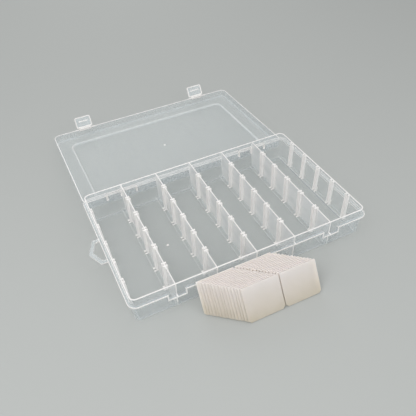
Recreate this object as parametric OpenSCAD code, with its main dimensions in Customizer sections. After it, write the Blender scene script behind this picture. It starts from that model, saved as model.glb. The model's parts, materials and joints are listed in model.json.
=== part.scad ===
// Embroidery thread box: a clear six-lane tray with a hinged lid, two snap latches,
// a hanging loop and two piles of loose dividers that drop into the rib slots.
// X runs along the long side, Y from the latch side to the hinge side, Z up.
// The tray stands on Z = 0, centred on X = 0 and Y = 0. The lid is drawn open.

/* [Tray] */
// Outside length at the top edge, in mm
tray_length = 275; // [220:1:340]
// Outside width at the top edge, in mm
tray_width = 175; // [130:1:220]
// Height of the walls, in mm
tray_height = 38.3; // [34:0.1:60]
// Thickness of the outer walls, in mm
wall = 1.4; // [1:0.1:2.2]
// Thickness of the floor, in mm
floor_t = 1.5; // [1:0.1:3]
// How far a wall leans in from its top to its foot, in mm
draft_in = 2.1; // [0.5:0.1:2.3]
// Radius of the upright corners at the top edge, in mm
corner_r = 6.6; // [6.4:0.1:12]
// Radius of the rounded edge under the floor, in mm
foot_r = 4.2; // [2.5:0.1:4.3]
// Radius of the moulding gate's dimple in the floor and in the lid, in mm
gate_r = 1.6; // [1:0.1:3]
// Depth of the gate's dimple, in mm
gate_depth = 0.5; // [0.2:0.1:0.9]

/* [Lanes] */
// Number of lanes side by side
lanes = 6; // [2:1:8]
// Thickness of a lane wall at its top, in mm
lane_wall = 1.2; // [0.8:0.1:2]
// Thickness of a lane wall at its foot, in mm
lane_foot = 1.8; // [1.2:0.1:3]
// Rib pairs along each lane wall
rib_rows = 5; // [1:1:9]
// Width of one rib, in mm
rib_w = 1.9; // [1:0.1:3]
// Slot between the two ribs of a pair, in mm
slot_w = 2.4; // [1.8:0.1:4]
// How far a rib stands out from its wall, in mm
rib_out = 2; // [1.5:0.1:4]
// How far the plinth at a wall's foot reaches beyond the wall's top, in mm
plinth_out = 4.6; // [3:0.1:6]
// Height of the plinth above the floor, in mm
plinth_h = 1.3; // [0.4:0.1:2]
// Lanes from the middle of the tray to the gate in its floor
gate_lanes = 1.5; // [0.5:1:2.5]

/* [Flange] */
// How far the flange lies below the top edge, in mm
flange_drop = 8.7; // [7:0.1:14]
// Thickness of the flange, in mm
flange_t = 1.3; // [1:0.1:2.2]
// How far the flange stands out beyond the top edge, in mm
flange_out = 3; // [2.5:0.1:3.1]
// How far the flange steps down at a latch, in mm
latch_step = 7.4; // [6:0.1:9]
// Clear half width of the step at a latch, in mm
step_half = 9.2; // [6:0.1:14]

/* [Hanging loop] */
// How far the loop's tip reaches beyond the flange, in mm
loop_reach = 15; // [10:0.5:30]
// Length of the loop's straight sides, in mm
loop_side = 7; // [3:0.5:14]
// Half width of the loop at the flange, in mm
loop_half = 19; // [12:0.5:30]
// Width of the loop's strip, in mm
loop_strip = 4.2; // [3:0.1:8]
// Radius of the loop's tip, in mm
loop_tip_r = 4.6; // [4.3:0.1:8]
// Thickness of the loop, in mm
loop_t = 1.7; // [1:0.1:3]

/* [Hinge] */
// Distance of the hinge line behind the top edge, in mm
hinge_out = 2.2; // [2.2:0.05:2.4]
// Depth of the hinge line below the flange's upper face, in mm
hinge_drop = 2.3; // [2.25:0.05:2.5]
// Radius of the hinge bars, in mm
bar_r = 1.1; // [0.8:0.05:1.2]
// Running clearance around a hinge bar, in mm
bar_fit = 0.07; // [0.03:0.01:0.1]
// Outer radius of a hinge clip, in mm
clip_r = 2.2; // [2:0.05:2.25]
// Mouth of a hinge clip, in degrees
clip_mouth = 100; // [60:5:140]
// Length of one hinge clip, in mm
clip_len = 15; // [8:0.5:22]
// Width of the outer lugs that carry a bar, in mm
lug_end = 2.5; // [1.5:0.1:5]
// Width of the middle lug, in mm
lug_mid = 4.4; // [2:0.1:8]
// Gap at each end of a clip, in mm
clip_gap = 0.3; // [0.2:0.1:1]
// How far the lugs' stop reaches below the hinge line, in mm
stop_drop = 6; // [4:0.5:8]
// How far the lid is open, in degrees
lid_open = 182.4; // [0:0.1:182.4]

/* [Lid] */
// Gap between the lid's skirt and the tray, in mm
lid_clear = 0.45; // [0.4:0.05:0.6]
// Thickness of the skirt, in mm
lid_wall = 1.1; // [0.8:0.05:1.2]
// Thickness of the lid's plate, in mm
lid_t = 1.4; // [1:0.1:2.5]
// Gap between the closed lid's rim and the flange, in mm
rim_gap = 0.3; // [0.2:0.05:1]
// Head room between the tray's top edge and the lid's plate, in mm
head_room = 1.5; // [1:0.1:5]
// Radius of the lid's outer edge, in mm
lid_edge_r = 2.6; // [1.5:0.1:3]
// Distance of the raised panel from the lid's outside, in mm
panel_in = 20; // [10:1:40]
// Height of the raised panel, in mm
panel_up = 1.5; // [0.5:0.1:3]
// Corner radius of the raised panel, in mm
panel_r = 9; // [4:0.5:20]

/* [Latches] */
// Radius of the rods that carry a latch, in mm
rod_r = 0.95; // [0.7:0.05:1.1]
// Distance of a rod in front of the top edge, in mm
rod_out = 2.3; // [2.2:0.05:2.45]
// Height of a rod above the closed lid's rim, in mm
rod_up = 1; // [0.8:0.1:2]
// Half length of a rod, in mm
rod_half = 14.4; // [11:0.1:20]
// Running clearance around a rod, in mm
rod_fit = 0.07; // [0.03:0.01:0.1]
// Outer radius of a latch's clip, in mm
latch_clip_r = 1.95; // [1.8:0.05:2]
// Mouth of a latch's clip, in degrees
latch_mouth = 80; // [50:5:120]
// Where that mouth looks, from the tray upward, in degrees
latch_mouth_tilt = 45; // [30:5:60]
// Half width of a latch's clip, in mm
latch_clip_half = 8.8; // [6:0.1:8.9]
// Half width of a latch's plate, in mm
latch_half = 11.7; // [10:0.1:16]
// Distance from a rod's middle down to the latch's plate, in mm
latch_head = 2.2; // [2:0.1:3]
// Length of a latch below its rod, in mm
latch_len = 17.9; // [15:0.1:26]
// Thickness of a latch's plate, in mm
latch_t = 1.2; // [0.8:0.1:2]
// Height of the border on a latch's inner side, in mm
border_up = 0.6; // [0.3:0.1:0.7]
// Width of that border, in mm
border_w = 1.5; // [0.8:0.1:3]
// Radius of a latch's lower corners, in mm
latch_corner_r = 2.4; // [1:0.1:4]
// Gap between the closed latch and the flange's edge, in mm
latch_clear = 1; // [0.9:0.1:1.5]
// Gap between the closed hook and the step above it, in mm
hook_gap = 0.3; // [0.2:0.05:0.8]
// Height of the hook, in mm
hook_t = 1.5; // [1:0.1:3]
// How far the hook grips under the step, in mm
hook_grip = 1.2; // [0.6:0.1:2]
// Half width of the hook, in mm
hook_half = 6.7; // [3:0.1:9]
// How far a latch is open from hanging, in degrees
latch_open = 26; // [0:1:90]

/* [Dividers] */
// Thickness of a divider, in mm
divider_t = 1.5; // [1:0.1:1.8]
// Chamfer at a divider's lower corners, in mm
divider_corner = 2.8; // [2.4:0.1:4]
// Chamfer at a divider's upper corners, in mm
divider_nick = 0.6; // [0.2:0.1:3]
// Room for a divider in its lane, in mm
divider_play = 0.1; // [0:0.05:1]
// Gap between a divider in its slot and the closed lid, in mm
divider_head = 0.3; // [0.2:0.05:2]
// Dividers in one pile
pile_plates = 15; // [1:1:20]
// How far the piles lean back, in degrees
pile_lean = 28; // [24:1:34]
// Gap between the leaning dividers of a pile, in mm
pile_gap = 0.3; // [0.3:0.05:1]
// Gap between a divider as it is lifted and the tray's top edge, in mm
pile_clear = 0.3; // [0.3:0.05:5]
// Gap between the two piles, in mm
pile_apart = 1.2; // [0.5:0.1:20]
// Middle of the two front dividers along X, in mm
pile_x = 5.7; // [-60:0.1:60]
// How far each divider of a pile lies to the left of the one before it, in mm
fan_step = 2.35; // [0:0.05:4]
// Uneven slip within that fan, in mm
fan_slip = 0.5; // [0:0.1:1]

/* [Hidden] */
$fn = 48;
fuse = 0.4;
piles = 2;
slip_turn = 137;
slip_group = 4;
clear_plastic = [0.86, 0.89, 0.89, 0.6];
lid_plastic = [0.8, 0.85, 0.86, 0.6];
latch_plastic = [0.7, 0.8, 0.82, 0.8];
divider_plastic = [0.87, 0.83, 0.77];

half_x = tray_length / 2 - corner_r;
half_y = tray_width / 2 - corner_r;
lean = atan(draft_in / tray_height);
lane_w = (tray_length - 2 * wall - (lanes - 1) * lane_wall) / lanes;
lane_pitch = lane_w + lane_wall;
rib_pitch = tray_width / (rib_rows + 1);

flange_z = tray_height - flange_drop;
step_z = flange_z - latch_step;
site_x = (lanes / 2 - 1) * lane_pitch;

loop_root = tray_length / 2 + flange_out;
loop_tip_x = loop_tip_r - loop_root - loop_reach;
loop_slant = [-loop_root - loop_side - loop_tip_x, loop_half];
loop_heading = atan2(loop_slant[1], loop_slant[0]) + acos(loop_tip_r / norm(loop_slant));

bar_y = tray_width / 2 + hinge_out;
bar_z = flange_z - hinge_drop;
clip_in = bar_r + bar_fit;
hinge_half = lug_mid / 2 + clip_len + 2 * clip_gap + lug_end;

rim_z = flange_z + rim_gap;
ceiling_z = tray_height + head_room;
lid_top_z = ceiling_z + lid_t;
lid_out = lid_clear + lid_wall;
lid_half_x = tray_length / 2 + lid_out;
lid_half_y = tray_width / 2 + lid_out;

rod_y = -(tray_width / 2 + rod_out);
rod_z = rim_z + rod_up;
latch_y = -(tray_width / 2 + flange_out + latch_clear);
latch_top_z = rod_z - latch_head;
hook_top_z = step_z - flange_t - hook_gap;

divider_w = lane_at(floor_t + divider_corner) - divider_play;
divider_h = ceiling_z - floor_t - divider_head;
pile_back_y = -tray_width / 2 - tray_height * tan(pile_lean) - pile_clear / cos(pile_lean);
pile_pitch = divider_t + pile_gap;

function divider_name(i) = str("divider_", i < 10 ? "0" : "", i);

// How far the outer walls lie inside the top edge at height z.
function inset_at(z) = draft_in * (1 - z / tray_height);

// Clear width of an outer lane at height z.
function lane_at(z) = lane_w - (draft_in + (lane_foot - lane_wall) / 2) * (1 - z / tray_height);

// A section, drawn as distance out and height, carried round a rectangle with round corners.
module around(reach_x, reach_y) {
    for (quarter = [0 : 3]) {
        turn = 90 * quarter;
        side_x = quarter == 0 || quarter == 3 ? 1 : -1;
        side_y = quarter < 2 ? 1 : -1;
        out = quarter % 2 == 0 ? reach_x : reach_y;
        along = quarter % 2 == 0 ? reach_y : reach_x;
        translate([side_x * reach_x, side_y * reach_y, 0])
            rotate([0, 0, turn])
                rotate_extrude(angle = 90) children();
        rotate([0, 0, turn])
            translate([out, along, 0])
                rotate([90, 0, 0])
                    linear_extrude(2 * along) children();
    }
}

// A section, drawn as Y and Z, carried along X.
module along_x(from, to) {
    translate([from, 0, 0])
        rotate([90, 0, 90])
            linear_extrude(to - from) children();
}

module slab(from, to) {
    translate(from) cube(to - from);
}

// Side face and rounded lower edge of a vessel whose wall leans like the tray's.
module vessel_section(inset, base, round_r, top) {
    foot = corner_r - inset_at(base) - inset;
    centre = [foot - round_r * (1 - sin(lean)) / cos(lean), base + round_r];
    difference() {
        polygon([[0, base], [foot, base], [corner_r - inset_at(top) - inset, top], [0, top]]);
        difference() {
            polygon([
                centre,
                [centre[0], base - wall],
                [foot + wall, base - wall],
                centre + (round_r + wall) * [cos(lean), -sin(lean)]
            ]);
            translate(centre) circle(round_r);
        }
    }
}

module tray_shell() {
    around(half_x, half_y)
        difference() {
            vessel_section(0, 0, foot_r, tray_height);
            vessel_section(wall, floor_t, foot_r - wall, tray_height + wall);
        }
    slab([-half_x, -half_y, 0], [half_x, half_y, floor_t]);
}

// The walls between the lanes, thinner at their tops.
module lane_walls() {
    for (i = [1 : lanes - 1])
        translate([(i - lanes / 2) * lane_pitch, tray_width / 2, 0])
            rotate([90, 0, 0])
                linear_extrude(tray_width)
                    polygon([
                        [-lane_foot / 2, 0],
                        [lane_foot / 2, 0],
                        [lane_wall / 2, tray_height],
                        [-lane_wall / 2, tray_height]
                    ]);
}

// Ribs in pairs on both faces of each lane wall and on the inner faces of the end walls.
module ribs() {
    tip = lane_wall / 2 + rib_out;
    for (i = [0 : lanes], row = [0 : rib_rows - 1], side = [-1, 1])
        translate([
            (i - lanes / 2) * lane_pitch,
            (row - (rib_rows - 1) / 2) * rib_pitch + side * (slot_w + rib_w) / 2,
            0
        ])
            rib(
                tip,
                i > 0 && i < lanes ? (lane_foot - lane_wall) / 2 : draft_in,
                i > 0 ? -1 : 0,
                i < lanes ? 1 : 0
            );
}

// One rib through a wall, reaching out on the sides that are asked for and further at its foot.
module rib(tip, grow, left, right) {
    translate([0, rib_w / 2, 0])
        rotate([90, 0, 0])
            linear_extrude(rib_w)
                polygon([
                    [left * (tip + grow), 0],
                    [right * (tip + grow), 0],
                    [right * tip, tray_height],
                    [left * tip, tray_height]
                ]);
}

// Low plinth at the foot of the lane walls, open at each slot so that a divider reaches the floor.
module plinths() {
    reach = tray_width / 2 - draft_in - foot_r;
    difference() {
        for (i = [0 : lanes])
            translate([(i - lanes / 2) * lane_pitch, 0, 0])
                slab(
                    [i > 0 ? -plinth_out - lane_wall / 2 : 0, -reach, 0],
                    [i < lanes ? plinth_out + lane_wall / 2 : 0, reach, floor_t + plinth_h]
                );
        for (row = [0 : rib_rows - 1])
            translate([0, (row - (rib_rows - 1) / 2) * rib_pitch, 0])
                slab([-tray_length, -slot_w / 2, floor_t], [tray_length, slot_w / 2, tray_height]);
    }
}

// Everything inside the tray ends in the middle of its leaning walls.
module inside_trim() {
    around(half_x, half_y) vessel_section(wall / 2, floor_t / 2, foot_r - wall, tray_height);
    slab([-half_x, -half_y, floor_t / 2], [half_x, half_y, tray_height]);
}

module flange() {
    difference() {
        around(half_x, half_y)
            translate([corner_r - inset_at(flange_z) - wall / 2, flange_z - flange_t])
                square([flange_out + inset_at(flange_z) + wall / 2, flange_t]);
        for (side = [-1, 1])
            translate([side * site_x, 0, 0]) {
                slab(
                    [-step_half, -tray_width / 2 - flange_out - fuse, flange_z - flange_t - fuse],
                    [step_half, -half_y, flange_z + fuse]
                );
                slab(
                    [-hinge_half + lug_end, half_y, flange_z - flange_t - fuse],
                    [hinge_half - lug_end, tray_width / 2 + flange_out + fuse, flange_z + fuse]
                );
            }
    }
}

// The flange's step under a latch: a lower shelf with an upright cheek at each end.
module latch_shelf() {
    inner_y = -(tray_width / 2 - inset_at((flange_z + step_z) / 2) - wall / 2);
    outer_y = -(tray_width / 2 + flange_out);
    end = step_half + flange_t;
    slab([-end, outer_y, step_z - flange_t], [end, inner_y, step_z]);
    for (side = [-1, 1])
        translate([side * (end + step_half) / 2, 0, 0])
            slab(
                [-flange_t / 2, outer_y, step_z - flange_t],
                [flange_t / 2, inner_y, flange_z]
            );
}

// Lugs with a round nose on the hinge line and a foot that stops the open lid.
module hinge_lug(width) {
    wall_y = tray_width / 2 - inset_at(bar_z) - wall / 2;
    along_x(-width / 2, width / 2) {
        translate([bar_y, bar_z]) circle(hinge_drop);
        polygon([
            [wall_y, flange_z],
            [bar_y, flange_z],
            [bar_y, bar_z - stop_drop],
            [wall_y, bar_z - stop_drop - hinge_out]
        ]);
    }
}

module hinge_bars() {
    hinge_lug(lug_mid);
    for (side = [-1, 1])
        translate([side * (hinge_half - lug_end / 2), 0, 0]) hinge_lug(lug_end);
    translate([-hinge_half + lug_end / 2, bar_y, bar_z])
        rotate([0, 90, 0])
            cylinder(h = 2 * hinge_half - lug_end, r = bar_r);
}

// Outline of the hanging loop: straight sides, then a point with a round tip.
module loop_outline(inset) {
    root_x = fuse - loop_root;
    half = loop_half - inset;
    tip_r = loop_tip_r - inset;
    shoulder_x = -loop_root - loop_side - inset * (1 - sin(loop_heading)) / cos(loop_heading);
    touch = [loop_tip_x + tip_r * cos(loop_heading), tip_r * sin(loop_heading)];
    polygon([
        [root_x, half],
        [shoulder_x, half],
        touch,
        [loop_tip_x, 0],
        [touch[0], -touch[1]],
        [shoulder_x, -half],
        [root_x, -half]
    ]);
    translate([loop_tip_x, 0]) circle(tip_r);
}

module hanging_loop() {
    translate([0, 0, flange_z - loop_t])
        linear_extrude(loop_t)
            difference() {
                loop_outline(0);
                loop_outline(loop_strip);
            }
}

module tray() {
    color(clear_plastic) {
        difference() {
            tray_shell();
            translate([-gate_lanes * lane_pitch, 0, floor_t - gate_depth])
                cylinder(h = 2 * gate_depth, r = gate_r);
        }
        intersection() {
            union() {
                lane_walls();
                ribs();
                plinths();
            }
            inside_trim();
        }
        flange();
        for (side = [-1, 1])
            translate([side * site_x, 0, 0]) {
                latch_shelf();
                hinge_bars();
            }
        hanging_loop();
    }
}

// Section of the lid's skirt and edge, moved in by the wall when it draws the hollow.
module lid_section(inset, from, top, round_r) {
    out = corner_r + lid_out - inset;
    difference() {
        polygon([[0, from], [out, from], [out, top], [0, top]]);
        difference() {
            translate([out - round_r, top - round_r]) square(2 * round_r);
            translate([out - round_r, top - round_r]) circle(round_r);
        }
    }
}

module lid_block(inset, from, top, round_r) {
    around(half_x, half_y) lid_section(inset, from, top, round_r);
    slab([-half_x, -half_y, from], [half_x, half_y, top]);
}

// The raised panel: a low block with leaning sides, grown by a distance for its outside.
module panel_block(grow, from, top) {
    reach_x = lid_half_x - panel_in - panel_r;
    reach_y = lid_half_y - panel_in - panel_r;
    around(reach_x, reach_y)
        polygon([
            [0, from],
            [panel_r + grow + top - from, from],
            [panel_r + grow, top],
            [0, top]
        ]);
    slab([-reach_x, -reach_y, from], [reach_x, reach_y, top]);
}

// A ring with a mouth, as Y and Z about its pivot; the mouth looks along the given angle.
module clip_section(outer, inner, mouth, facing) {
    edge = outer / cos(mouth / 2) + fuse;
    difference() {
        circle(outer);
        circle(inner);
        polygon([
            [0, 0],
            edge * [cos(facing - mouth / 2), sin(facing - mouth / 2)],
            edge * [cos(facing + mouth / 2), sin(facing + mouth / 2)]
        ]);
    }
}

// One hinge clip with the neck that carries it under the skirt.
module hinge_clip() {
    skirt_y = lid_clear - hinge_out;
    along_x(-clip_len / 2, clip_len / 2)
        translate([bar_y, bar_z]) {
            clip_section(clip_r, clip_in, clip_mouth, -90);
            translate([skirt_y, clip_in])
                square([lid_wall, rim_z - bar_z - clip_in + fuse]);
        }
}

// A rod across a latch's notch, with its ends fused to the skirt.
module latch_rod() {
    translate([-rod_half, rod_y, rod_z])
        rotate([0, 90, 0])
            cylinder(h = 2 * rod_half, r = rod_r);
}

module latch_notch() {
    slab(
        [-step_half, -lid_half_y - fuse, rim_z - fuse],
        [step_half, -lid_half_y + lid_wall + fuse, rod_z + latch_clip_r + fuse]
    );
}

module lid_closed() {
    difference() {
        union() {
            lid_block(0, rim_z, lid_top_z, lid_edge_r);
            panel_block(0, lid_top_z - fuse, lid_top_z + panel_up);
        }
        lid_block(lid_wall, rim_z - lid_t, ceiling_z, lid_edge_r - lid_wall);
        panel_block(lid_t * (1 - sqrt(2)), ceiling_z - fuse, ceiling_z + panel_up);
        for (side = [-1, 1])
            translate([side * site_x, 0, 0]) latch_notch();
        translate([0, 0, ceiling_z + panel_up - gate_depth])
            cylinder(h = 2 * gate_depth, r = gate_r);
    }
    for (side = [-1, 1])
        translate([side * site_x, 0, 0]) {
            latch_rod();
            for (end = [-1, 1])
                translate([end * (lug_mid / 2 + clip_gap + clip_len / 2), 0, 0]) hinge_clip();
        }
}

// Turns what is drawn on the closed lid to where the open lid carries it.
module open_with_lid() {
    translate([0, bar_y, bar_z])
        rotate([-lid_open, 0, 0])
            translate([0, -bar_y, -bar_z])
                children();
}

module lid() {
    color(lid_plastic) open_with_lid() lid_closed();
}

// Outline of a latch's plate, as X and distance below the top, with round lower corners.
module latch_outline(inset) {
    half = latch_half - inset;
    low = latch_len - latch_head - inset;
    round_r = latch_corner_r - inset;
    polygon([
        [-half, -inset],
        [half, -inset],
        [half, round_r - low],
        [half - round_r, -low],
        [round_r - half, -low],
        [-half, round_r - low]
    ]);
    for (side = [-1, 1])
        translate([side * (half - round_r), round_r - low]) circle(round_r);
}

// A latch hanging straight down from its rod, as it is when it holds the closed lid.
module latch_hanging() {
    face = latch_y;
    translate([0, face, latch_top_z])
        rotate([90, 0, 0])
            linear_extrude(latch_t) latch_outline(0);
    translate([0, face + border_up, latch_top_z])
        rotate([90, 0, 0])
            linear_extrude(border_up + fuse)
                difference() {
                    latch_outline(0);
                    latch_outline(border_w);
                }
    along_x(-latch_clip_half, latch_clip_half) {
        translate([rod_y, rod_z]) clip_section(latch_clip_r, rod_r + rod_fit, latch_mouth, latch_mouth_tilt);
        polygon([
            [rod_y - rod_r, rod_z - latch_clip_r + rod_r],
            [rod_y - latch_clip_r + fuse, rod_z],
            [face - latch_t, latch_top_z],
            [face - latch_t, latch_top_z - border_w],
            [face + border_up, latch_top_z - border_w],
            [face + border_up, latch_top_z]
        ]);
    }
    along_x(-hook_half, hook_half)
        polygon([
            [face - fuse, hook_top_z],
            [face + latch_clear + hook_grip, hook_top_z],
            [face + latch_clear + hook_grip, hook_top_z - hook_t / 2],
            [face - fuse, hook_top_z - hook_t - fuse]
        ]);
}

module latch_on_lid() {
    open_with_lid()
        translate([0, rod_y, rod_z])
            rotate([-latch_open, 0, 0])
                translate([0, -rod_y, -rod_z])
                    latch_hanging();
}

module latch_left() {
    color(latch_plastic) translate([-site_x, 0, 0]) latch_on_lid();
}

module latch_right() {
    color(latch_plastic) translate([site_x, 0, 0]) latch_on_lid();
}

// A divider as X and height, with its lower corners cut to clear the tray's rounded foot.
module divider_outline() {
    c = divider_corner;
    n = divider_nick;
    polygon([
        [c, 0], [divider_w - c, 0], [divider_w, c], [divider_w, divider_h - n],
        [divider_w - n, divider_h], [n, divider_h], [0, divider_h - n], [0, c]
    ]);
}

// Sideways place of a divider in its pile, counted from the front, with an uneven slip.
function fan_x(k) = -fan_step * k - fan_slip * (floor(k / slip_group) + sin(slip_turn * k) / 2);

// Dividers count from the front of the left pile to its back, then the same on the right.
module divider(i) {
    pile = ceil(i / pile_plates) - 1;
    k = (i - 1) % pile_plates;
    x = pile_x - pile_apart / 2 - divider_w + pile * (pile_apart + divider_w) + fan_x(k);
    back = pile_back_y - (pile_plates - 1 - k) * pile_pitch / cos(pile_lean);
    color(divider_plastic)
        translate([x, back, 0])
            rotate([-pile_lean, 0, 0])
                rotate([90, 0, 0])
                    linear_extrude(divider_t) divider_outline();
}

tray();
lid();
latch_left();
latch_right();
for (i = [1 : piles * pile_plates]) {
    divider(i);
}
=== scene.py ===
"""Looks of an embroidery thread box: clear tray, lid and latches, and loose natural dividers."""

import json
import math

import bpy
from mathutils import Matrix, Vector

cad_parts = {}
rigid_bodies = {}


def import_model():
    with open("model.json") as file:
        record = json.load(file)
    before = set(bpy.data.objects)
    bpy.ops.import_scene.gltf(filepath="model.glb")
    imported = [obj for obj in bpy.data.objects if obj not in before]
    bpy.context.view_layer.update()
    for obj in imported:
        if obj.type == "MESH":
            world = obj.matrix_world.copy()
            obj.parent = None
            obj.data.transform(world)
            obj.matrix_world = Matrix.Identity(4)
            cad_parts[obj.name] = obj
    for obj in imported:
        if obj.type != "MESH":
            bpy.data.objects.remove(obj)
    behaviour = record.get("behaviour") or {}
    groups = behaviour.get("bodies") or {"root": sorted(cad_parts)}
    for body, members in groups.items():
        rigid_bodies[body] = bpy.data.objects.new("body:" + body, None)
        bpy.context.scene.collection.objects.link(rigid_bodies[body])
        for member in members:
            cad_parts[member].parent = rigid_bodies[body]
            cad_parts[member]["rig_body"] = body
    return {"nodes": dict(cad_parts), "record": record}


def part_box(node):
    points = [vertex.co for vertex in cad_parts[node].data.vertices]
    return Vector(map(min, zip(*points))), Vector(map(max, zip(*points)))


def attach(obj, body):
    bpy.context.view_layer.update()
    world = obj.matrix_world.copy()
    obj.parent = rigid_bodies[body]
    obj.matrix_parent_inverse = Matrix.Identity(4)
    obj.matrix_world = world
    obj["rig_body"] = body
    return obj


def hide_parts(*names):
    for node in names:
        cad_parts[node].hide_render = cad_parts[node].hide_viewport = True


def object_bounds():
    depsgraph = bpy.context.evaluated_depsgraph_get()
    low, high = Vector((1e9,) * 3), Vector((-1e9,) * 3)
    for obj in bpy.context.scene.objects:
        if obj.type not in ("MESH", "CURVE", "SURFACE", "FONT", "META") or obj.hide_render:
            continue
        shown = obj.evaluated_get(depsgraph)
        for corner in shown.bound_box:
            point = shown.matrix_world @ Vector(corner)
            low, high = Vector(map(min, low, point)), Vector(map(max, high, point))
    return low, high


bl_info = {
    "name": "Embroidery Thread Box",
    "version": (1, 0, 0),
    "blender": (4, 5, 0),
    "location": "View3D > Sidebar > Thread Box",
    "description": "Dresses the packed thread box in moulded polypropylene and sets its stage",
    "category": "Object",
}

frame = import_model()
CAD_BOX = [[float(v) for v in corner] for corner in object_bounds()]

MM = 0.001
MATH = "ShaderNodeMath"
VECTOR = "ShaderNodeVectorMath"
SPLIT = "ShaderNodeSeparateXYZ"
RANGE = "ShaderNodeMapRange"
NOISE = "ShaderNodeTexNoise"

DIVIDERS = sorted(n for n in frame["nodes"] if n.startswith("divider_"))
JOINTS = {j["name"]: j for j in frame["record"]["behaviour"]["joints"]}
HINGE = Vector(JOINTS["lid_hinge"]["pos_m"])
LID_OPEN = math.radians(JOINTS["lid_hinge"]["range_deg"][1])
LATCH_OPEN = -math.radians(JOINTS["latch_left_hinge"]["range_deg"][0])

# A mask that is open to one side ends farther out than any piece; most masks end as sharply as EDGE.
FAR = 1.0
EDGE = 0.1 * MM
# Cover of plastic so thick that next to nothing shows through it.
DENSE = 0.97

# The tray: half its size and its corner radius outside the walls, and heights over the table.
TRAY_HALF_X, TRAY_HALF_Y, TRAY_CORNER = 137.5 * MM, 87.5 * MM, 6.6 * MM
TRAY_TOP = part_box("tray")[1].z
FLOOR_TOP = 1.6 * MM
PLINTH_TOP = 2.9 * MM
HINGE_TOP = 28.2 * MM
FLANGE_LOW, FLANGE_TOP = 27.8 * MM, 29.8 * MM
LATCH_STEP_LOW = 16.0 * MM
# The moulding gate's mark, in lanes to the left of the middle.
GATE_LANES = 1.5

# The shut lid: the same sizes for its skirt and for the edge of its raised panel.
LID_HALF_X, LID_HALF_Y, LID_CORNER = 139.05 * MM, 89.05 * MM, 8.15 * MM
PANEL_HALF_X, PANEL_HALF_Y, PANEL_CORNER = 119.8 * MM, 69.8 * MM, 9.8 * MM
CLIP_TOP = 29.5 * MM
RIM_TOP = 30.3 * MM
LID_PLATE = 38.7 * MM
LID_TOP = 41.1 * MM

# A hanging latch: its rod, its middle along X, and where its border, foot, hook and clip are.
ROD = Vector((0.0, -89.8 * MM, 30.9 * MM))
LATCH_SITE = 91.067 * MM
LATCH_BORDER = 10.3 * MM
LATCH_FOOT = 14.4 * MM
LATCH_CLIP = 27.3 * MM
HOOK_HALF, HOOK_LOW, HOOK_TOP = 6.7 * MM, 19.1 * MM, 20.6 * MM

# The camera, as solved from the corners of the tray and the lid in the photograph.
CAMERA_RIGHT = Vector((0.90050, -0.43214, -0.04833))
CAMERA_UP = Vector((0.32054, 0.58458, 0.74533))
CAMERA_SHIFT = (-0.00697, -0.00671)

# Lamps: name, place, diameter and share of the key light's power.
LAMPS = (
    ("key", (-0.6, -0.45, 1.1), 1.1, 1.0),
    ("fill", (0.5, -1.2, 0.6), 0.9, 0.4),
    ("back", (0.2, 1.2, 0.8), 0.8, 0.3),
)
AIM = Vector((0.0, 0.05, 0.0))


# Nodes, masks and materials


def linear(hex_colour):
    """An sRGB hex value as the linear colour that a shader socket takes."""
    channels = [int(hex_colour[i : i + 2], 16) / 255 for i in (1, 3, 5)]
    return [c / 12.92 if c <= 0.04045 else ((c + 0.055) / 1.055) ** 2.4 for c in channels] + [1.0]


def add(tree, kind, inputs=(), give=0, **settings):
    """Adds a node with its settings and links, and gives one of its outputs.

    An input is a number, a colour or the output that feeds it."""
    node = tree.nodes.new(kind)
    for name, value in settings.items():
        setattr(node, name, value)
    for socket, source in dict(inputs).items():
        if isinstance(source, bpy.types.NodeSocket):
            tree.links.new(source, node.inputs[socket])
        else:
            node.inputs[socket].default_value = source
    return node.outputs[give] if len(node.outputs) else None


def band(tree, value, low, high, soft=EDGE):
    """A mask: 1 where value lies from low to high, fading out over soft beyond them."""
    rise = add(tree, RANGE, {"Value": value, "From Min": low - soft, "From Max": low})
    fall = add(
        tree,
        RANGE,
        {"Value": value, "From Min": high, "From Max": high + soft, "To Min": 1, "To Max": 0},
    )
    return add(tree, MATH, {0: rise, 1: fall}, operation="MULTIPLY")


def where_all(tree, *masks):
    """A mask where all of several masks hold."""
    mask = masks[0]
    for other in masks[1:]:
        mask = add(tree, MATH, {0: mask, 1: other}, operation="MULTIPLY")
    return mask


def thickest(tree, cover, parts):
    """Cover raised to that of each part, given as its mask and its own cover, where the mask holds."""
    for mask, part_cover in parts:
        part = add(tree, MATH, {0: mask, 1: part_cover}, operation="MULTIPLY")
        cover = add(tree, MATH, {0: cover, 1: part}, operation="MAXIMUM")
    return cover


def from_nearest(tree, value, pitch):
    """Distance of value from the nearest whole multiple of a pitch."""
    turns = add(tree, MATH, {0: value, 1: pitch}, operation="DIVIDE")
    whole = add(tree, MATH, {0: turns}, operation="ROUND")
    part = add(tree, MATH, {0: turns, 1: whole}, operation="SUBTRACT")
    size = add(tree, MATH, {0: part}, operation="ABSOLUTE")
    return add(tree, MATH, {0: size, 1: pitch}, operation="MULTIPLY")


def past_outline(tree, place, half_x, half_y, corner):
    """How far a point lies outside a round-cornered rectangle in X and Y; less than 0 inside it."""
    straight = (half_x - corner, half_y - corner, 0)
    flat = add(tree, VECTOR, {0: place, 1: (1, 1, 0)}, operation="MULTIPLY")
    folded = add(tree, VECTOR, {0: flat}, operation="ABSOLUTE")
    beyond = add(tree, VECTOR, {0: folded, 1: straight}, operation="SUBTRACT")
    round_part = add(tree, VECTOR, {0: beyond, 1: (0, 0, 0)}, operation="MAXIMUM")
    reach = add(tree, VECTOR, {0: round_part}, give="Value", operation="LENGTH")
    beyond_x, beyond_y, _ = add(tree, SPLIT, {0: beyond}).node.outputs
    nearer = add(tree, MATH, {0: beyond_x, 1: beyond_y}, operation="MAXIMUM")
    inside = add(tree, MATH, {0: nearer, 1: 0.0}, operation="MINIMUM")
    signed = add(tree, MATH, {0: reach, 1: inside}, operation="ADD")
    return add(tree, MATH, {0: signed, 1: corner}, operation="SUBTRACT")


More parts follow.
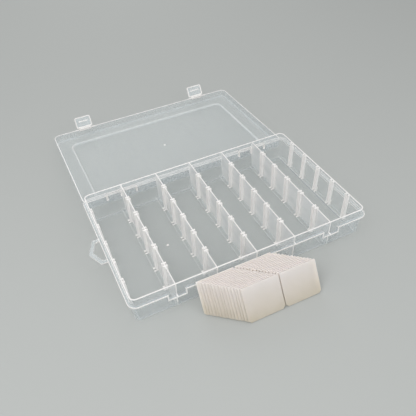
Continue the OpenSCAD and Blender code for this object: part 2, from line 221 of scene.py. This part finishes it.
def clear_polypropylene(name, looks, cover_of, roughness):
    """Injection moulded natural polypropylene, thin: clear to the eye, with a white haze that grows with
    the thickness of plastic behind each point, a soft polish and a fine grain from the mould."""
    material = bpy.data.materials.new(name)
    material.use_nodes = True
    tree = material.node_tree
    tree.nodes.clear()
    where = add(tree, "ShaderNodeTexCoord", give="Object")
    cover = cover_of(tree, where)
    # Flow marks of the melt: streaks along the lanes, 5 mm apart and ten times as long.
    along = add(tree, "ShaderNodeMapping", {"Vector": where, "Scale": (200, 20, 60)})
    streak = add(tree, NOISE, {"Vector": along, "Scale": 1.0, "Detail": 2.0})
    least, most = 1 - looks.streaks, 1 + looks.streaks
    uneven = add(tree, RANGE, {"Value": streak, "To Min": least, "To Max": most})
    hazy = add(tree, MATH, {0: cover, 1: uneven}, operation="MULTIPLY")
    # A face seen along its sheet has more plastic behind each point.
    slant = add(tree, "ShaderNodeLayerWeight", {"Blend": 0.35}, give="Facing")
    slant = add(tree, MATH, {0: slant, 1: 2.0}, operation="POWER")
    deep = add(tree, MATH, {0: slant, 1: looks.edge_haze, 2: hazy}, operation="MULTIPLY_ADD")
    whole = add(tree, MATH, {0: deep, 1: DENSE}, operation="MINIMUM")
    # Haze scatters most light onward, so its shadow is much paler than the haze is white.
    lamp_ray = add(tree, "ShaderNodeLightPath", give="Is Shadow Ray")
    passing = add(tree, MATH, {0: lamp_ray, 1: -looks.glow, 2: 1.0}, operation="MULTIPLY_ADD")
    alpha = add(tree, MATH, {0: whole, 1: passing}, operation="MULTIPLY")
    thick = add(tree, RANGE, {"Value": whole, "From Min": 0.4, "From Max": 0.8})
    tint = add(tree, "ShaderNodeMix", {0: thick, 6: looks.thin, 7: looks.thick}, give=2, data_type="RGBA")
    # Spark-eroded grain of the mould, 0.1 mm between its peaks, drawn at 0.7 mm so that it shows.
    grain = add(tree, NOISE, {"Vector": where, "Scale": 1400.0, "Detail": 2.0})
    bump = add(tree, "ShaderNodeBump", {"Height": grain, "Strength": 0.2, "Distance": 0.02 * MM})
    smooth, matt = roughness - 0.06, roughness + 0.06
    worn = add(tree, RANGE, {"Value": grain, "To Min": smooth, "To Max": matt})
    surface = add(
        tree,
        "ShaderNodeBsdfPrincipled",
        {
            "Base Color": tint,
            "Alpha": alpha,
            "Normal": bump,
            "Roughness": worn,
            "IOR": 1.49,
            "Subsurface Weight": 0.6,
            "Subsurface Radius": (1.0, 1.0, 1.0),
            "Subsurface Scale": 3.0 * MM,
        },
    )
    add(tree, "ShaderNodeOutputMaterial", {"Surface": surface})
    return material


def natural_polypropylene(name, looks):
    """Injection moulded polypropylene without pigment, thick enough in a pile to look creamy: light goes
    in a few millimetres and comes out warm, and the faces are matt from the mould."""
    material = bpy.data.materials.new(name)
    material.use_nodes = True
    tree = material.node_tree
    tree.nodes.clear()
    where = add(tree, "ShaderNodeTexCoord", give="Object")
    # Flow marks about 20 mm apart, and painted light: lighter where light enters at the upper edge, fading to
    # painted shade below.
    flow = add(tree, NOISE, {"Vector": where, "Scale": 50.0, "Detail": 2.0})
    height = add(tree, SPLIT, {0: where}, give=2)
    glow = add(tree, RANGE, {"Value": height, "From Min": 0.0, "From Max": 34 * MM, "To Max": 0.85})
    flow_and_painted_light = add(tree, MATH, {0: flow, 1: 0.3, 2: glow}, operation="MULTIPLY_ADD")
    tint = add(tree, "ShaderNodeMix", {0: flow_and_painted_light, 6: looks.painted_foot_shade, 7: looks.tint}, give=2, data_type="RGBA")
    # Spark-eroded grain of the mould, 0.1 mm between its peaks, drawn at 0.7 mm so that it shows.
    grain = add(tree, NOISE, {"Vector": where, "Scale": 1400.0, "Detail": 3.0})
    bump = add(tree, "ShaderNodeBump", {"Height": grain, "Strength": 0.3, "Distance": 0.03 * MM})
    worn = add(tree, RANGE, {"Value": grain, "To Min": 0.48, "To Max": 0.62})
    surface = add(
        tree,
        "ShaderNodeBsdfPrincipled",
        {
            "Base Color": tint,
            "Normal": bump,
            "Roughness": worn,
            "IOR": 1.49,
            "Subsurface Weight": 0.7,
            "Subsurface Radius": (1.0, 0.95, 0.85),
            "Subsurface Scale": 6.0 * MM,
        },
    )
    add(tree, "ShaderNodeOutputMaterial", {"Surface": surface})
    return material


def dress(piece, material):
    """Gives every face of a piece one material."""
    piece.data.materials.clear()
    piece.data.materials.append(material)


# Sizes and colours that a user would change


class ThreadBoxPlastic(bpy.types.PropertyGroup):
    """Looks of the tray's clear plastic, and the places of its walls and ribs."""

    thin: bpy.props.FloatVectorProperty(
        name="Thin tint",
        description="Colour of the plastic where it is thin",
        default=linear("#dce4e7"),
        size=4,
        min=0,
        max=1,
        subtype="COLOR",
    )
    thick: bpy.props.FloatVectorProperty(
        name="Thick tint",
        description="Colour of the plastic where it is thick",
        default=linear("#fbf7f4"),
        size=4,
        min=0,
        max=1,
        subtype="COLOR",
    )
    floor_haze: bpy.props.FloatProperty(
        name="Floor haze",
        description="Cover of the floor",
        default=0.05,
        min=0,
        max=1,
        subtype="FACTOR",
    )
    wall_haze: bpy.props.FloatProperty(
        name="Wall haze",
        description="Cover of the outer walls",
        default=0.1,
        min=0,
        max=1,
        subtype="FACTOR",
    )
    lane_haze: bpy.props.FloatProperty(
        name="Lane wall haze",
        description="Cover of the lane walls",
        default=0.52,
        min=0,
        max=1,
        subtype="FACTOR",
    )
    rib_haze: bpy.props.FloatProperty(
        name="Rib haze",
        description="Cover of the ribs",
        default=0.94,
        min=0,
        max=1,
        subtype="FACTOR",
    )
    rim_haze: bpy.props.FloatProperty(
        name="Rim haze", description="Cover of the rim", default=0.95, min=0, max=1, subtype="FACTOR"
    )
    flange_haze: bpy.props.FloatProperty(
        name="Flange haze",
        description="Cover of the flange",
        default=0.25,
        min=0,
        max=1,
        subtype="FACTOR",
    )
    edge_haze: bpy.props.FloatProperty(
        name="Edge haze",
        description="Cover that a slanting view adds",
        default=0.3,
        min=0,
        max=1,
        subtype="FACTOR",
    )
    glow: bpy.props.FloatProperty(
        name="Glow",
        description="Share of a shadow that light passes on",
        default=0.7,
        min=0,
        max=1,
        subtype="FACTOR",
    )
    streaks: bpy.props.FloatProperty(
        name="Streaks",
        description="Unevenness of the haze",
        default=0.25,
        min=0,
        max=1,
        subtype="FACTOR",
    )
    lane_pitch: bpy.props.FloatProperty(
        name="Lane pitch",
        description="Distance between the middles of two lane walls",
        default=45.533 * MM,
        precision=5,
        unit="LENGTH",
    )
    rib_pitch: bpy.props.FloatProperty(
        name="Rib pitch",
        description="Distance between the middles of two slots",
        default=29.167 * MM,
        precision=5,
        unit="LENGTH",
    )


class ThreadBoxLid(bpy.types.PropertyGroup):
    """Looks of the lid and the latches."""

    plate_haze: bpy.props.FloatProperty(
        name="Plate haze",
        description="Cover of the lid's plate",
        default=0.1,
        min=0,
        max=1,
        subtype="FACTOR",
    )
    skirt_haze: bpy.props.FloatProperty(
        name="Skirt haze",
        description="Cover of the lid's skirt",
        default=0.16,
        min=0,
        max=1,
        subtype="FACTOR",
    )
    rim_haze: bpy.props.FloatProperty(
        name="Rim haze",
        description="Cover of the lid's rim and clips",
        default=0.85,
        min=0,
        max=1,
        subtype="FACTOR",
    )
    panel_haze: bpy.props.FloatProperty(
        name="Panel edge haze",
        description="Cover of the panel's edge",
        default=0.5,
        min=0,
        max=1,
        subtype="FACTOR",
    )
    latch_haze: bpy.props.FloatProperty(
        name="Latch haze",
        description="Cover of a latch",
        default=0.3,
        min=0,
        max=1,
        subtype="FACTOR",
    )


class ThreadBoxDividers(bpy.types.PropertyGroup):
    """Sizes and looks of the loose dividers."""

    width: bpy.props.FloatProperty(
        name="Width",
        description="Width of a divider across its lane",
        default=42.116 * MM,
        precision=5,
        unit="LENGTH",
    )
    height: bpy.props.FloatProperty(
        name="Height",
        description="Height of a divider",
        default=38.0 * MM,
        precision=5,
        unit="LENGTH",
    )
    thickness: bpy.props.FloatProperty(
        name="Thickness",
        description="Thickness of a divider",
        default=1.5 * MM,
        precision=5,
        unit="LENGTH",
    )
    corner: bpy.props.FloatProperty(
        name="Lower corners",
        description="Cut at the lower corners",
        default=2.8 * MM,
        precision=5,
        unit="LENGTH",
    )
    nick: bpy.props.FloatProperty(
        name="Upper corners",
        description="Cut at the upper corners",
        default=0.6 * MM,
        precision=5,
        unit="LENGTH",
    )
    edge: bpy.props.FloatProperty(
        name="Edge radius",
        description="Rounding of the edges",
        default=0.12 * MM,
        precision=5,
        unit="LENGTH",
    )
    lean: bpy.props.FloatProperty(
        name="Lean",
        description="How far the piles lean back",
        default=math.radians(28),
        subtype="ANGLE",
    )
    tint: bpy.props.FloatVectorProperty(
        name="Natural tint",
        description="Colour of the unpigmented plastic",
        default=linear("#f4e8e0"),
        size=4,
        min=0,
        max=1,
        subtype="COLOR",
    )
    # Painted shade: the colour at the foot is darker than the top, standing in for less light reaching it.
    painted_foot_shade: bpy.props.FloatVectorProperty(
        name="Foot tint",
        description="Colour of the plastic at the foot, where less light reaches it",
        default=linear("#c2b8a3"),
        size=4,
        min=0,
        max=1,
        subtype="COLOR",
    )


class ThreadBoxStage(bpy.types.PropertyGroup):
    """Floor, lights and camera."""

    floor: bpy.props.FloatVectorProperty(
        name="Floor",
        description="Colour of the floor",
        default=linear("#b9bcba"),
        size=4,
        min=0,
        max=1,
        subtype="COLOR",
    )
    key: bpy.props.FloatProperty(
        name="Key light", description="Power of the large lamp", default=8.0, min=0, unit="POWER"
    )
    sky: bpy.props.FloatProperty(
        name="Room light", description="Strength of the light all round", default=0.55, min=0
    )
    camera_at: bpy.props.FloatVectorProperty(
        name="Camera",
        description="Where the camera stands",
        default=(-0.17767, -0.38988, 0.41584),
        subtype="XYZ",
    )
    lens: bpy.props.FloatProperty(name="Lens", description="Focal length in mm", default=43.06)


# Pieces


class THREADBOX_OT_tray(bpy.types.Operator):
    """Dresses the tray in clear moulded polypropylene"""

    bl_idname = "threadbox.tray"
    bl_label = "Tray"

    def execute(self, context):
        looks = context.scene.thread_box_plastic

        def cover(tree, where):
            x, y, z = add(tree, SPLIT, {0: where}).node.outputs
            from_wall = from_nearest(tree, x, looks.lane_pitch)
            from_row = from_nearest(tree, y, looks.rib_pitch)
            outside = past_outline(tree, where, TRAY_HALF_X, TRAY_HALF_Y, TRAY_CORNER)
            # Faces that stand upright, such as the cut faces at the flange's edge.
            facing = add(tree, "ShaderNodeTexCoord", give="Normal")
            upward = add(tree, MATH, {0: add(tree, SPLIT, {0: facing}, give=2)}, operation="ABSOLUTE")
            cut_face = band(tree, upward, -FAR, 0.4, 0.2)
            # The end walls and the front and rear walls lie near whole pitches too, and are kept out.
            inner_lanes = band(tree, x, -120 * MM, 120 * MM, MM)
            inner_rows = band(tree, y, -70 * MM, 70 * MM, MM)
            behind_front = band(tree, y, -80 * MM, FAR, MM)
            at_back = band(tree, y, 80 * MM, FAR, MM)
            raised = band(tree, z, PLINTH_TOP, FAR)
            low = band(tree, z, FLOOR_TOP, PLINTH_TOP)
            rib_pairs = band(tree, from_row, 1.05 * MM, 3.15 * MM)
            rows = where_all(tree, rib_pairs, inner_rows, band(tree, outside, -FAR, -0.3 * MM))
            beside = band(tree, from_wall, 0.7 * MM, 5.4 * MM)
            sheet = where_all(tree, band(tree, from_wall, -FAR, 0.95 * MM), inner_lanes, raised)
            sheet_ends = where_all(
                tree,
                band(tree, from_wall, -FAR, 0.6 * MM, 0.3 * MM),
                inner_lanes,
                band(tree, outside, -1.6 * MM, FAR, 0.3 * MM),
            )
            plinth_edge = where_all(tree, band(tree, from_wall, 4.7 * MM, 5.4 * MM), low)
            plinth_root = where_all(
                tree,
                band(tree, from_wall, -FAR, 1.5 * MM, 0.2 * MM),
                band(tree, z, PLINTH_TOP - 0.4 * MM, PLINTH_TOP + 0.6 * MM, 0.2 * MM),
            )
            rim = band(tree, z, TRAY_TOP - 0.4 * MM, FAR, 0.2 * MM)
            flange = where_all(
                tree,
                band(tree, z, FLANGE_LOW, FLANGE_TOP),
                band(tree, outside, -0.2 * MM, FAR, 0.2 * MM),
            )
            flange_root = where_all(
                tree,
                band(tree, z, FLANGE_LOW + 0.6 * MM, FLANGE_TOP - 0.2 * MM, 0.2 * MM),
                band(tree, outside, -2.2 * MM, 0.3 * MM, 0.2 * MM),
                behind_front,
            )
            beyond = where_all(
                tree,
                band(tree, outside, 0.1 * MM, FAR, 0.2 * MM),
                band(tree, z, LATCH_STEP_LOW, FLANGE_TOP, 0.3 * MM),
            )
            hinge = where_all(tree, beyond, band(tree, z, -FAR, HINGE_TOP), at_back)
            flange_edge = where_all(tree, beyond, band(tree, outside, 2.3 * MM, 3.1 * MM))
            foot_line = where_all(
                tree,
                band(tree, outside, -6.0 * MM, -5.2 * MM, 0.6 * MM),
                band(tree, z, -FAR, FLOOR_TOP + 0.8 * MM, 0.3 * MM),
            )
            gate_place = (-GATE_LANES * looks.lane_pitch, 0, FLOOR_TOP - 0.3 * MM)
            from_gate = add(tree, VECTOR, {0: where, 1: gate_place}, give="Value", operation="DISTANCE")
            gate = band(tree, from_gate, -FAR, 1.5 * MM, 0.3 * MM)
            floor = band(tree, z, -FAR, FLOOR_TOP - 0.05 * MM)
            plain = add(tree, RANGE, {"Value": floor, "To Min": looks.wall_haze, "To Max": looks.floor_haze})
            return thickest(
                tree,
                plain,
                (
                    (sheet, looks.lane_haze),
                    (sheet_ends, looks.rib_haze * 0.8),
                    (where_all(tree, beside, rows, raised), looks.rib_haze),
                    (where_all(tree, beside, rows, low), looks.rib_haze * 0.9),
                    (plinth_edge, looks.rib_haze * 0.55),
                    (plinth_root, looks.rib_haze * 0.5),
                    (rim, looks.rim_haze),
                    (flange, looks.flange_haze),
                    (flange_root, looks.rib_haze * 0.75),
                    (where_all(tree, flange, cut_face), looks.rib_haze),
                    (beyond, looks.flange_haze),
                    (flange_edge, looks.rib_haze),
                    (hinge, DENSE),
                    (foot_line, looks.flange_haze),
                    (gate, looks.rib_haze),
                ),
            )

        dress(frame["nodes"]["tray"], clear_polypropylene("Clear polypropylene tray", looks, cover, 0.3))
        return {"FINISHED"}


class THREADBOX_OT_lid(bpy.types.Operator):
    """Dresses the lid and its two latches in clear moulded polypropylene"""

    bl_idname = "threadbox.lid"
    bl_label = "Lid and latches"

    def execute(self, context):
        looks = context.scene.thread_box_lid
        plastic = context.scene.thread_box_plastic
        # Sizes are those of the shut lid and of a hanging latch, so the open places are turned back
        # about the hinge and then the rod.
        shut = Matrix.Rotation(LID_OPEN, 3, "X")
        hang = Matrix.Rotation(LATCH_OPEN, 3, "X")
        shut_shift = HINGE - shut @ HINGE
        hang_shift = ROD + hang @ (shut_shift - ROD)

        def lid_cover(tree, where):
            closed = add(
                tree,
                "ShaderNodeMapping",
                {"Vector": where, "Rotation": (LID_OPEN, 0, 0), "Location": shut_shift},
            )
            _, y, z = add(tree, SPLIT, {0: closed}).node.outputs
            outside = past_outline(tree, closed, LID_HALF_X, LID_HALF_Y, LID_CORNER)
            panel = past_outline(tree, closed, PANEL_HALF_X, PANEL_HALF_Y, PANEL_CORNER)
            skirt = where_all(
                tree,
                band(tree, outside, -1.6 * MM, FAR, 0.4 * MM),
                band(tree, z, -FAR, LID_PLATE - EDGE, 0.6 * MM),
            )
            edge_line = where_all(
                tree,
                band(tree, outside, -3.0 * MM, FAR, 0.6 * MM),
                band(tree, z, LID_PLATE + EDGE, FAR, 0.6 * MM),
            )
            from_gate = add(
                tree, VECTOR, {0: closed, 1: (0, 0, LID_TOP)}, give="Value", operation="DISTANCE"
            )
            return thickest(
                tree,
                looks.plate_haze,
                (
                    (skirt, looks.skirt_haze),
                    (band(tree, z, -FAR, RIM_TOP), looks.rim_haze),
                    (band(tree, z, -FAR, CLIP_TOP), DENSE),
                    (band(tree, y, -FAR, -LID_HALF_Y - EDGE, EDGE / 2), looks.rim_haze),
                    (edge_line, looks.skirt_haze * 1.6),
                    (band(tree, panel, -0.9 * MM, 0.9 * MM, 0.3 * MM), looks.panel_haze),
                    (band(tree, from_gate, -FAR, 1.6 * MM, 0.3 * MM), looks.rim_haze),
                ),
            )

        def latch_cover(tree, where):
            hung = add(
                tree,
                "ShaderNodeMapping",
                {"Vector": where, "Rotation": (LID_OPEN + LATCH_OPEN, 0, 0), "Location": hang_shift},
            )
            x, _, z = add(tree, SPLIT, {0: hung}).node.outputs
            side = add(tree, MATH, {0: x}, operation="ABSOLUTE")
            off_middle = add(tree, MATH, {0: side, 1: LATCH_SITE}, operation="SUBTRACT")
            off_middle = add(tree, MATH, {0: off_middle}, operation="ABSOLUTE")
            hook = where_all(
                tree,
                band(tree, off_middle, -FAR, HOOK_HALF, 0.2 * MM),
                band(tree, z, HOOK_LOW, HOOK_TOP, 0.2 * MM),
            )
            # Rubbed dull by fingers in patches of some 8 mm.
            rub = add(tree, NOISE, {"Vector": where, "Scale": 120.0, "Detail": 1.0})
            clean, dull = looks.latch_haze - 0.08, looks.latch_haze + 0.08
            plain = add(tree, RANGE, {"Value": rub, "To Min": clean, "To Max": dull})
            return thickest(
                tree,
                plain,
                (
                    (band(tree, off_middle, LATCH_BORDER, FAR, 0.2 * MM), looks.rim_haze),
                    (band(tree, z, -FAR, LATCH_FOOT, 0.2 * MM), looks.rim_haze),
                    (band(tree, z, LATCH_CLIP, FAR, 0.2 * MM), looks.rim_haze),
                    (hook, looks.rim_haze),
                ),
            )

        dress(frame["nodes"]["lid"], clear_polypropylene("Clear polypropylene lid", plastic, lid_cover, 0.24))
        latch = clear_polypropylene("Clear polypropylene latch", plastic, latch_cover, 0.28)
        for name in ("latch_left", "latch_right"):
            dress(frame["nodes"][name], latch)
        return {"FINISHED"}


def divider_tree():
    """A plate from its sizes: its outline with cut corners, made thick, leant back and set in place."""
    tree = bpy.data.node_groups.new("Divider plate", "GeometryNodeTree")
    for name, kind in (
        ("Width", "NodeSocketFloat"),
        ("Height", "NodeSocketFloat"),
        ("Thickness", "NodeSocketFloat"),
        ("Lower corners", "NodeSocketFloat"),
        ("Upper corners", "NodeSocketFloat"),
        ("Turn", "NodeSocketVector"),
        ("Foot", "NodeSocketVector"),
        ("Material", "NodeSocketMaterial"),
    ):
        tree.interface.new_socket(name, in_out="INPUT", socket_type=kind)
    tree.interface.new_socket("Plate", in_out="OUTPUT", socket_type="NodeSocketGeometry")
    given = add(tree, "NodeGroupInput").node.outputs
    outline = add(
        tree,
        "GeometryNodeCurvePrimitiveQuadrilateral",
        {"Width": given["Width"], "Height": given["Height"]},
    )
    height = add(tree, SPLIT, {0: add(tree, "GeometryNodeInputPosition")}, give=1)
    upper = add(tree, "FunctionNodeCompare", {0: height, 1: 0.0}, operation="GREATER_THAN")
    cut = add(
        tree,
        "GeometryNodeSwitch",
        {"Switch": upper, "False": given["Lower corners"], "True": given["Upper corners"]},
        input_type="FLOAT",
    )
    corners = {"Curve": outline, "Count": 1, "Radius": cut}
    cut_outline = add(tree, "GeometryNodeFilletCurve", corners, mode="POLY")
    face = add(tree, "GeometryNodeFillCurve", {"Curve": cut_outline}, mode="NGONS")
    half = add(tree, "ShaderNodeCombineXYZ", {0: given["Width"], 1: given["Height"]})
    half = add(tree, VECTOR, {0: half, "Scale": 0.5}, operation="SCALE")
    face = add(tree, "GeometryNodeTransform", {"Geometry": face, "Translation": half})
    front = add(
        tree,
        "GeometryNodeExtrudeMesh",
        {"Mesh": face, "Offset": (0, 0, 1), "Offset Scale": given["Thickness"], "Individual": False},
    )
    back = add(tree, "GeometryNodeFlipFaces", {"Mesh": face})
    join = tree.nodes.new("GeometryNodeJoinGeometry")
    for part in (front, back):
        tree.links.new(part, join.inputs[0])
    plate = add(tree, "GeometryNodeMergeByDistance", {"Geometry": join.outputs[0], "Distance": 0.01 * MM})
    plate = add(
        tree,
        "GeometryNodeTransform",
        {"Geometry": plate, "Translation": given["Foot"], "Rotation": given["Turn"]},
    )
    plate = add(tree, "GeometryNodeRealizeInstances", {"Geometry": plate})
    plate = add(tree, "GeometryNodeSetMaterial", {"Geometry": plate, "Material": given["Material"]})
    add(tree, "NodeGroupOutput", {"Plate": plate})
    return tree


class THREADBOX_OT_dividers(bpy.types.Operator):
    """Makes the loose dividers in their two leaning piles"""

    bl_idname = "threadbox.dividers"
    bl_label = "Dividers"

    def execute(self, context):
        looks = context.scene.thread_box_dividers
        plastic = natural_polypropylene("Natural polypropylene divider", looks)
        tree = divider_tree()
        socket = {s.name: s.identifier for s in tree.interface.items_tree}
        for node in DIVIDERS:
            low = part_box(node)[0]
            piece = bpy.data.objects.new(node + "_plate", bpy.data.meshes.new(node))
            context.scene.collection.objects.link(piece)
            shape = piece.modifiers.new("Plate", "NODES")
            shape.node_group = tree
            shape[socket["Width"]] = looks.width
            shape[socket["Height"]] = looks.height
            shape[socket["Thickness"]] = looks.thickness
            shape[socket["Lower corners"]] = looks.corner
            shape[socket["Upper corners"]] = looks.nick
            shape[socket["Turn"]] = (math.radians(90) - looks.lean, 0.0, 0.0)
            shape[socket["Foot"]] = (low.x, low.y + looks.thickness * math.cos(looks.lean), low.z)
            shape[socket["Material"]] = plastic
            rounding = piece.modifiers.new("Edges", "BEVEL")
            rounding.width = looks.edge
            rounding.segments = 2
            graph = context.evaluated_depsgraph_get()
            made = bpy.data.meshes.new_from_object(piece.evaluated_get(graph), depsgraph=graph)
            piece.modifiers.clear()
            piece.data = made
            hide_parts(node)
            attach(piece, frame["nodes"][node]["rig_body"])
        return {"FINISHED"}


class THREADBOX_OT_stage(bpy.types.Operator):
    """Sets the pale floor, the soft lights and the camera"""

    bl_idname = "threadbox.stage"
    bl_label = "Stage"

    def execute(self, context):
        looks = context.scene.thread_box_stage
        scene = context.scene
        card = bpy.data.materials.new("Pale matt card")
        card.use_nodes = True
        card.node_tree.nodes.clear()
        matt = add(
            card.node_tree,
            "ShaderNodeBsdfPrincipled",
            {"Base Color": looks.floor, "Roughness": 0.9, "Specular IOR Level": 0.1},
        )
        add(card.node_tree, "ShaderNodeOutputMaterial", {"Surface": matt})
        reach = 6.0
        corners = [(-reach, -reach, 0), (reach, -reach, 0), (reach, reach, 0), (-reach, reach, 0)]
        mesh = bpy.data.meshes.new("floor")
        mesh.from_pydata(corners, [], [(0, 1, 2, 3)])
        floor = bpy.data.objects.new("floor", mesh)
        floor.location.z = CAD_BOX[0][2] - 0.05 * MM
        scene.collection.objects.link(floor)
        dress(floor, card)

        for name, place, size, share in LAMPS:
            lamp = bpy.data.lights.new(name, "AREA")
            lamp.shape = "DISK"
            lamp.size = size
            lamp.energy = looks.key * share
            light = bpy.data.objects.new(name, lamp)
            light.location = place
            light.rotation_euler = (AIM - Vector(place)).to_track_quat("-Z", "Y").to_euler()
            scene.collection.objects.link(light)

        # Seen by the camera itself, the room is as bright as the far floor, so that no horizon shows.
        world = bpy.data.worlds.new("Soft studio")
        world.use_nodes = True
        tree = world.node_tree
        tree.nodes.clear()
        seen = add(tree, "ShaderNodeLightPath", give="Is Camera Ray")
        dimmer = looks.sky * looks.floor[1] - looks.sky
        strength = add(tree, MATH, {0: seen, 1: dimmer, 2: looks.sky}, operation="MULTIPLY_ADD")
        room = add(tree, "ShaderNodeBackground", {"Color": (1, 1, 1, 1), "Strength": strength})
        add(tree, "ShaderNodeOutputWorld", {"Surface": room})
        scene.world = world

        lens = bpy.data.cameras.new("camera")
        lens.lens = looks.lens
        lens.sensor_width = 36
        lens.shift_x, lens.shift_y = CAMERA_SHIFT
        lens.clip_start = 0.01
        camera = bpy.data.objects.new("camera", lens)
        turn = Matrix((CAMERA_RIGHT, CAMERA_UP, CAMERA_RIGHT.cross(CAMERA_UP))).transposed()
        camera.matrix_world = Matrix.Translation(Vector(looks.camera_at)) @ turn.to_4x4()
        scene.collection.objects.link(camera)
        scene.camera = camera
        scene.view_settings.view_transform = "Standard"
        return {"FINISHED"}


class THREADBOX_PT_panel(bpy.types.Panel):
    """Buttons, sizes and colours of the thread box"""

    bl_idname = "THREADBOX_PT_panel"
    bl_label = "Thread Box"
    bl_space_type = "VIEW_3D"
    bl_region_type = "UI"
    bl_category = "Thread Box"

    def draw(self, context):
        for group, operator, _ in PARTS:
            column = self.layout.column(align=True)
            looks = getattr(context.scene, "thread_box_" + group)
            for name in looks.bl_rna.properties.keys():
                if name not in ("rna_type", "name"):
                    column.prop(looks, name)
            column.operator(operator)


PARTS = (
    ("plastic", "threadbox.tray", ThreadBoxPlastic),
    ("lid", "threadbox.lid", ThreadBoxLid),
    ("dividers", "threadbox.dividers", ThreadBoxDividers),
    ("stage", "threadbox.stage", ThreadBoxStage),
)
CLASSES = [kind for _, _, kind in PARTS] + [
    THREADBOX_OT_tray,
    THREADBOX_OT_lid,
    THREADBOX_OT_dividers,
    THREADBOX_OT_stage,
    THREADBOX_PT_panel,
]


def register():
    for kind in CLASSES:
        bpy.utils.register_class(kind)
    for group, _, kind in PARTS:
        setattr(bpy.types.Scene, "thread_box_" + group, bpy.props.PointerProperty(type=kind))


def unregister():
    for group, _, _ in PARTS:
        delattr(bpy.types.Scene, "thread_box_" + group)
    for kind in reversed(CLASSES):
        bpy.utils.unregister_class(kind)


def main():
    register()
    bpy.ops.threadbox.stage()
    bpy.ops.threadbox.tray()
    bpy.ops.threadbox.lid()
    bpy.ops.threadbox.dividers()


if __name__ == "__main__":
    main()
